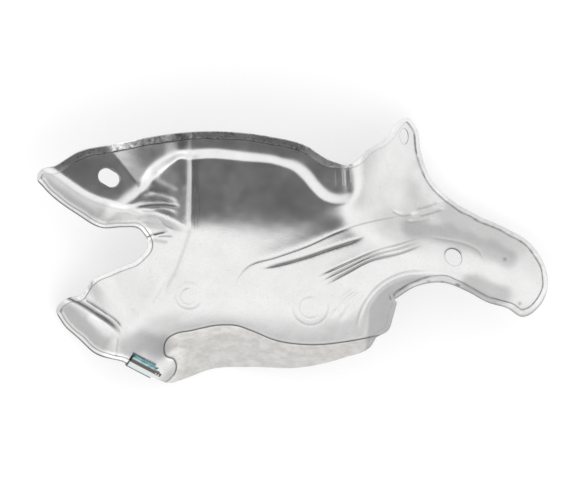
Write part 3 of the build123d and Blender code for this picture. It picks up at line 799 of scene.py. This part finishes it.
def sheet_plan():
    """The sheet in plan, with rows of points along its edge and its holes."""
    outline, inward, hemmed = outline_samples()
    width = hem_widths(outline)
    rows = []
    for share, added in EDGE_ROWS:
        depth = share * width + added
        row = outline + inward * depth[:, None]
        gap, _ = to_outline(row, outline)
        on_outline = share == 0 and added == 0
        keep = np.ones(len(row), bool) if on_outline else gap > depth - ROW_SLACK
        rows.append((row[keep], depth[keep], np.flatnonzero(keep), np.full(keep.sum(), FAR_FROM_RIM)))
    edges = closed_loop(0, len(outline))
    count = sum(len(row[0]) for row in rows)
    for hole in HOLES:
        for added in RIM_ROWS:
            row = hole_rim(hole, added)
            if added == 0:
                edges += closed_loop(count, len(row))
            rows.append((row, *to_outline(row, outline), np.full(len(row), added)))
            count += len(row)
    grid = open_points(outline)
    gap, near = to_outline(grid, outline)
    keep = gap > width[near] + EDGE_CLEAR + MESH_STEP / 2
    for hole in HOLES:
        keep &= ~inside(grid, hole_rim(hole, RIM_ROWS[-1] + RIM_CLEAR))
    rows.append((grid[keep], gap[keep], near[keep], np.full(keep.sum(), FAR_FROM_RIM)))
    points, depth, sample, rim = (np.concatenate(column) for column in zip(*rows))
    corners = [Vector(p) for p in points]
    _, _, faces, origin, _, _ = delaunay_2d_cdt(corners, edges, [], INSIDE_ONLY, MEET_GAP)
    faces = np.array([o[0] for o in origin])[np.array(faces)]
    for hole in HOLES:
        faces = faces[~inside(points[faces].mean(axis=1), hole_rim(hole))]
    used, faces = np.unique(faces, return_inverse=True)
    sample = sample[used]
    return Plan(points[used], faces.reshape(-1, 3), depth[used], rim[used], width[sample], hemmed[sample],
                inward[sample, 1])


def normals_of(points, faces):
    """Unit normals at the points of a mesh."""
    a, b, c = (points[faces[:, k]] for k in range(3))
    each = np.cross(b - a, c - a)
    total = np.zeros(points.shape)
    for k in range(3):
        np.add.at(total, faces[:, k], each)
    return total / np.linalg.norm(total, axis=1)[:, None]


def on_hem(plan):
    """Share of the folded hem, 0 inside its raw edge."""
    return plan.hemmed * np.clip((plan.width + HEM_STEP - plan.depth) / (2 * HEM_STEP), 0, 1)


def upper_left(plan):
    """1 along the upper edge left of the tab."""
    x, y = plan.points.T
    return ease(y, *UPPER_FROM) * (1 - ease(x, *UPPER_END))


def lower_edge(plan):
    """Hemmed share where the edge is a lower one."""
    return plan.hemmed * ease(plan.inward_up, *LOWER_FACING)


def lower_left(plan):
    """The lower edge's share at the left."""
    return lower_edge(plan) * ease(-plan.points[:, 0], *LOWER_LEFT)


def hole_lip(plan):
    """1 on the rim of a hole, falling to 0 past it."""
    return np.exp(-((plan.rim / RIM_REACH) ** 2))


def sheet_section(plan):
    """Rise of the front and the back from the drawn face: round hem, crinkles, raw edge and eased rims."""
    x, y = plan.points.T
    bend = np.clip(plan.depth / HEM_BEND, HEM_BLUNT, 1)
    rounded = SHEET * np.sqrt(1 - (1 - bend) ** 2)
    crinkle = (waves(x, y, CRINKLES[0]) + waves(y, x, CRINKLES[1])) * ease(plan.depth, *CRINKLE_FROM)
    front = on_hem(plan) * (rounded + crinkle) * (1 - LOWER_FLATTER * lower_left(plan))
    back = -SHEET + plan.hemmed * (SHEET - rounded)
    eased = RIM_ROUND * hole_lip(plan)
    return front - eased, back + eased


def edge_and_rim_shade(plan, facing):
    """Painted shade at the foot of the hem, on its outer edge and on the rims of the holes, and a painted
    shadow over the wing hole.
    """
    x, y = plan.points.T
    upper, lower, left = upper_left(plan), lower_edge(plan), lower_left(plan)
    foot = np.exp(-(((plan.depth - plan.width) / (FOOT_REACH + FOOT_REACH_UPPER * upper)) ** 2)) * plan.hemmed
    foot = foot * (FOOT_SHADE + FOOT_SHADE_UPPER * upper + FOOT_SHADE_LOWER * left)
    lip = hole_lip(plan)
    above_hole = ease(y - WING_HOLE_AT[1], *HOLE_SHADOW_ABOVE)
    above_hole = above_hole * (np.hypot(x - WING_HOLE_AT[0], y - WING_HOLE_AT[1]) < WING_HOLE)
    over_hole = HOLE_SHADOW * above_hole * np.exp(-((plan.rim / HOLE_SHADOW_REACH) ** 2))
    rims = RIM_SHADE * lip + over_hole * (1 - RIM_SHADE * lip)
    overhang = SHEET * np.sqrt(1 - facing[:, 2] ** 2)
    outside = 1 - ease(plan.depth - overhang, *OUTSIDE_EDGE)
    outside = (OUTSIDE_SHADE + OUTSIDE_SHADE_LEFT * left) * lower * outside
    slot = SLOT_SHADE * np.exp(-((plan.rim / SLOT_SHADE_REACH) ** 2)) * ease(-x, *SLOT_SHADE_LEFT)
    return np.max([foot, rims, outside, slot], axis=0)


def painted_light_of(plan):
    """How much painted shade, or painted highlight where negative, lies at each point."""
    x, y = plan.points.T
    hem = on_hem(plan)
    flange = ease(beside(x, y, FLANGE.line)[0], 0, FLANGE_SHADE_EDGE) * ease(x, *FLANGE_SHADE_FROM)
    painted_light = FLANGE_SHADE * flange * (1 - hem * ease(x, *STRIP_FROM))
    wander = 1 + waves(x, y, SHADE_WAVE)
    for patch in PAINTED_LIGHT_PATCHES:
        off = beside(x, y, patch.line)[0] / (patch.half_width * wander)
        painted_light = painted_light + patch.amount * np.exp(-(off**SHADE_FALL))
    skirt_band = between(beside(x, y, SKIRT.line)[0], SKIRT_BAND_FROM, SKIRT_BAND_END)
    painted_light = painted_light - SKIRT_BRIGHT * skirt_band * between(x, SKIRT_BRIGHT_FROM, SKIRT_BRIGHT_END)
    upper = upper_left(plan)
    # Painted shade on the upper hem, with a brighter painted patch, and painted highlight on the other hems
    bright_patch = np.exp(-(((x - BRIGHT_HEM_AT) / BRIGHT_HEM_REACH) ** SHADE_FALL))
    upper_tone = UPPER_HEM_SHADE * (1 - bright_patch) - BRIGHT_HEM_PATCH * bright_patch
    painted_light = painted_light + hem * (upper * upper_tone - HEM_BRIGHT * (1 - upper))
    past_hem = plan.depth - plan.width
    return painted_light - PALE_HEM * lower_left(plan) * (1 - ease(past_hem, *PALE_PAST_HEM))


def closed_mesh(name, top, under, faces):
    """A mesh of a front, a back and the walls between them, kept inside the solid's box."""
    count = len(top)
    sides = np.vstack([faces[:, [0, 1]], faces[:, [1, 2]], faces[:, [2, 0]]])
    _, first, times = np.unique(np.sort(sides, axis=1), axis=0, return_index=True, return_counts=True)
    walls = [(b, a, a + count, b + count) for a, b in sides[first[times == 1]].tolist()]
    low, high = (np.array(corner) for corner in cad_box)
    vertices = np.clip(laid_down(np.vstack([top, under])), low + BOX_MARGIN, high - BOX_MARGIN)
    mesh = bpy.data.meshes.new(name)
    mesh.from_pydata(vertices.tolist(), [], faces.tolist() + (faces[:, ::-1] + count).tolist() + walls)
    mesh.polygons.foreach_set("use_smooth", [True] * len(mesh.polygons))
    mesh.update()
    mesh.set_sharp_from_angle(angle=math.radians(SHARP_ANGLE))
    return mesh


def make_sheet():
    """The stamped sheet as one closed mesh, with shares for its material at every point."""
    plan = sheet_plan()
    x, y = plan.points.T
    marks, grime = press_marks(x, y)
    face = np.column_stack([x, y, height(x, y) + marks])
    facing = normals_of(face, plan.faces)
    front, back = sheet_section(plan)
    top, under = face + facing * front[:, None], face + facing * back[:, None]
    mesh = closed_mesh("heat_shield_sheet", top, under, plan.faces)
    hem = on_hem(plan)
    shares = {
        # Painted shade in creases, dents, at the hem and round the holes, and patches of painted shade and
        # painted highlight
        "grime": np.maximum(grime, edge_and_rim_shade(plan, facing)),
        "hem": hem,
        "stipple": hem * (LEAST_STIPPLE + (1 - LEAST_STIPPLE) * upper_left(plan)),
        "skirt": below_skirt(x, y),
        "painted_light": painted_light_of(plan),
    }
    for name, values in shares.items():
        layer = mesh.attributes.new(name, "FLOAT", "POINT")
        layer.data.foreach_set("value", np.concatenate([values, values]).astype(np.float32))
    sheet = bpy.data.objects.new("shield_sheet", mesh)
    bpy.context.collection.objects.link(sheet)
    sheet.data.materials.append(aluminium())
    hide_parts("heat_shield")
    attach(sheet, "root")
    return sheet


def nodes_of(name):
    """A new material, its node tree and its shader."""
    material = bpy.data.materials.new(name)
    material.use_nodes = True
    tree = material.node_tree
    return material, tree, tree.nodes["Principled BSDF"]


def linked(tree, kind, inputs=(), **settings):
    """A new node with its settings, and inputs given as numbers or as the sockets that feed them."""
    node = tree.nodes.new(kind)
    for key, value in settings.items():
        setattr(node, key, value)
    for key, value in inputs:
        if isinstance(value, bpy.types.NodeSocket):
            tree.links.new(value, node.inputs[key])
        else:
            node.inputs[key].default_value = value
    return node


def blend(tree, share, first, second):
    """Colour mixed from first to second by a share."""
    return linked(tree, "ShaderNodeMix", [(0, share), (6, first), (7, second)], data_type="RGBA").outputs[2]


def noise(tree, scale, detail=3.0, rough=0.55):
    """Noise over the object, from 0 to 1."""
    where = linked(tree, "ShaderNodeTexCoord").outputs["Object"]
    return linked(tree, "ShaderNodeTexNoise", [("Vector", where), ("Scale", scale), ("Detail", detail),
                                               ("Roughness", rough)]).outputs["Fac"]


def scaled(tree, value, low, high, new_low, new_high):
    """A value brought from one range to another, and kept inside it."""
    return linked(tree, "ShaderNodeMapRange", [("Value", value), ("From Min", low), ("From Max", high),
                                               ("To Min", new_low), ("To Max", new_high)]).outputs["Result"]


def sum_of(tree, *values):
    """Sum of several values."""
    total = values[0]
    for value in values[1:]:
        total = linked(tree, "ShaderNodeMath", [(0, total), (1, value)], operation="ADD").outputs[0]
    return total


def product_of(tree, first, second, **settings):
    """Product of two values."""
    inputs = [(0, first), (1, second)]
    return linked(tree, "ShaderNodeMath", inputs, operation="MULTIPLY", **settings).outputs[0]


def share_of(tree, name):
    """A share that is kept at the points of the mesh."""
    return linked(tree, "ShaderNodeAttribute", attribute_name=name).outputs["Fac"]


def aluminium():
    """Rolled aluminium, mottled and worn, with a duller skirt, patches of painted shade and painted
    highlight, and dark painted shade in creases, at the hem and round the holes.
    """
    material, tree, shader = nodes_of("stamped_aluminium")
    names = ("grime", "hem", "stipple", "skirt", "painted_light")
    grime, hem, stipple, skirt, painted_light = (share_of(tree, name) for name in names)
    mottle = noise(tree, scale=70)
    specks = noise(tree, scale=520, detail=2.0)
    fine = noise(tree, scale=1500, detail=1.0)
    blotches = noise(tree, scale=150, detail=4.0, rough=0.65)
    spots = noise(tree, scale=640, detail=2.0)
    grain = noise(tree, scale=1100, detail=2.0)
    bright = blend(tree, scaled(tree, mottle, 0.3, 0.7, 0, 1), *MOTTLE)
    grainy = blend(tree, scaled(tree, fine, 0.3, 0.7, 0, 0.22), bright, GRAIN)
    worn = blend(tree, scaled(tree, specks, 0.62, 0.75, 0, 0.35), grainy, SPECK)
    patchy = blend(tree, scaled(tree, blotches, 0.38, 0.62, 0, 1), *SKIRT_MOTTLE)
    dull = blend(tree, scaled(tree, skirt, 0, 1, 0, 0.8), worn, patchy)
    # Painted shade and painted highlight scale the colour
    tone = scaled(tree, painted_light, -0.5, 0.5, 1.5, 0.5)
    toned = linked(tree, "ShaderNodeVectorMath", [(0, dull), ("Scale", tone)], operation="SCALE").outputs[0]
    dots = product_of(tree, stipple, scaled(tree, spots, 0.54, 0.66, 0, 0.5))
    # Painted shade in creases, at the hem and round the holes, and the hem's dark dots
    shade_and_specks = sum_of(tree, scaled(tree, grime, 0, 1, 0, 0.9), dots)
    tree.links.new(blend(tree, shade_and_specks, toned, SHADE_AND_SPECK_COLOUR), shader.inputs["Base Color"])
    shader.inputs["Metallic"].default_value = 1.0
    rough = sum_of(tree, scaled(tree, mottle, 0.3, 0.7, 0.20, 0.27), scaled(tree, hem, 0, 1, 0, 0.06),
                   scaled(tree, skirt, 0, 1, 0, 0.16), scaled(tree, grime, 0, 1, 0, 0.3))
    tree.links.new(rough, shader.inputs["Roughness"])
    bump = linked(tree, "ShaderNodeBump", [("Height", grain), ("Strength", 0.10), ("Distance", 0.0004)])
    tree.links.new(bump.outputs["Normal"], shader.inputs["Normal"])
    return material


def zinc():
    """Zinc plating in bands of colour along the clip's edge, with painted shade along its outer bend."""
    material, tree, shader = nodes_of("zinc_plate")
    tint = noise(tree, scale=160)
    turn = Matrix(TURN.tolist())
    inward = Vector((-CLIP_RUN[1], CLIP_RUN[0], 0)).normalized()
    where = linked(tree, "ShaderNodeTexCoord").outputs["Object"]
    across = linked(tree, "ShaderNodeVectorMath", [(0, where)], operation="DOT_PRODUCT")
    across.inputs[1].default_value = turn @ inward * 1000
    edge = inward.dot(Vector((*CLIP_EDGE_AT, 0))) + (turn @ inward).dot(Vector(REST_SHIFT))
    # Outermost, a dark line of painted shade on the clip's bend
    colour = blend(tree, scaled(tree, tint, 0.35, 0.65, 0, 1), *SHADED_BEND)
    teal = blend(tree, scaled(tree, tint, 0.4, 0.6, 0, 1), *TEAL)
    for start, end, next_colour in CLIP_BANDS:
        share = scaled(tree, across.outputs["Value"], edge + start, edge + end, 0, 1)
        colour = blend(tree, share, colour, teal if next_colour is None else next_colour)
    tree.links.new(colour, shader.inputs["Base Color"])
    shader.inputs["Metallic"].default_value = 1.0
    tree.links.new(scaled(tree, noise(tree, scale=900), 0.3, 0.7, 0.18, 0.32), shader.inputs["Roughness"])
    return material


def make_floor():
    """A plain white floor that keeps the shadow."""
    mesh = bpy.data.meshes.new("floor")
    corners = [(-1, -1), (1, -1), (1, 1), (-1, 1)]
    mesh.from_pydata([(FLOOR_REACH * x, FLOOR_REACH * y, 0) for x, y in corners], [], [(0, 1, 2, 3)])
    floor = bpy.data.objects.new("floor", mesh)
    bpy.context.collection.objects.link(floor)
    material, tree, shader = nodes_of("floor_white")
    shader.inputs["Base Color"].default_value = FLOOR_GREY
    shader.inputs["Roughness"].default_value = 0.9
    shader.inputs["Specular IOR Level"].default_value = 0.0
    path = linked(tree, "ShaderNodeLightPath")
    seen = sum_of(tree, path.outputs["Is Camera Ray"], path.outputs["Is Glossy Ray"],
                  path.outputs["Is Transmission Ray"])
    shader.inputs["Emission Color"].default_value = (1, 1, 1, 1)
    tree.links.new(product_of(tree, seen, FLOOR_LIFT, use_clamp=True), shader.inputs["Emission Strength"])
    mesh.materials.append(material)


def make_light():
    """Soft light from all sides but straight above the sheet."""
    world = bpy.data.worlds.new("studio")
    bpy.context.scene.world = world
    world.use_nodes = True
    tree = world.node_tree
    where = linked(tree, "ShaderNodeTexCoord").outputs["Generated"]
    straight_up = linked(tree, "ShaderNodeVectorMath", [(0, where)], operation="DOT_PRODUCT")
    straight_up.inputs[1].default_value = tuple(TURN[:, 2])
    above = straight_up.outputs["Value"]
    wide, narrow, side = (math.cos(math.radians(angle)) for angle in (*DARK_CONE, SIDE_CONE))
    sides = blend(tree, scaled(tree, above, 0.0, side, 0, 1), LOW_LIGHT, SIDE_LIGHT)
    colour = blend(tree, scaled(tree, above, wide, narrow, 0, 1), sides, TOP_LIGHT)
    tree.links.new(colour, tree.nodes["Background"].inputs["Color"])


def make_camera():
    """A long lens square over the plan, framed as the photograph is."""
    data = bpy.data.cameras.new("camera")
    camera = bpy.data.objects.new("camera", data)
    bpy.context.collection.objects.link(camera)
    middle = [(PHOTO_SIZE[0] / 2 - ORIGIN_PIXEL[0]) * MM_PER_PIXEL,
              (ORIGIN_PIXEL[1] - PHOTO_SIZE[1] / 2) * MM_PER_PIXEL, FOCUS_HEIGHT]
    target = Matrix.Translation(laid_down(middle).tolist())
    back_off = Matrix.Translation((0, 0, CAMERA_DISTANCE))
    camera.matrix_world = target @ Matrix(TURN.tolist()).to_4x4() @ back_off
    data.sensor_width = 36.0
    data.lens = data.sensor_width * CAMERA_DISTANCE / (PHOTO_SIZE[0] * MM_PER_PIXEL / 1000)
    data.clip_end = 50.0
    bpy.context.scene.camera = camera


make_sheet()
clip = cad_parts["edge_clip"]
clip.data.materials.clear()
clip.data.materials.append(zinc())
make_floor()
make_light()
make_camera()
bpy.context.scene.view_settings.view_transform = "Standard"
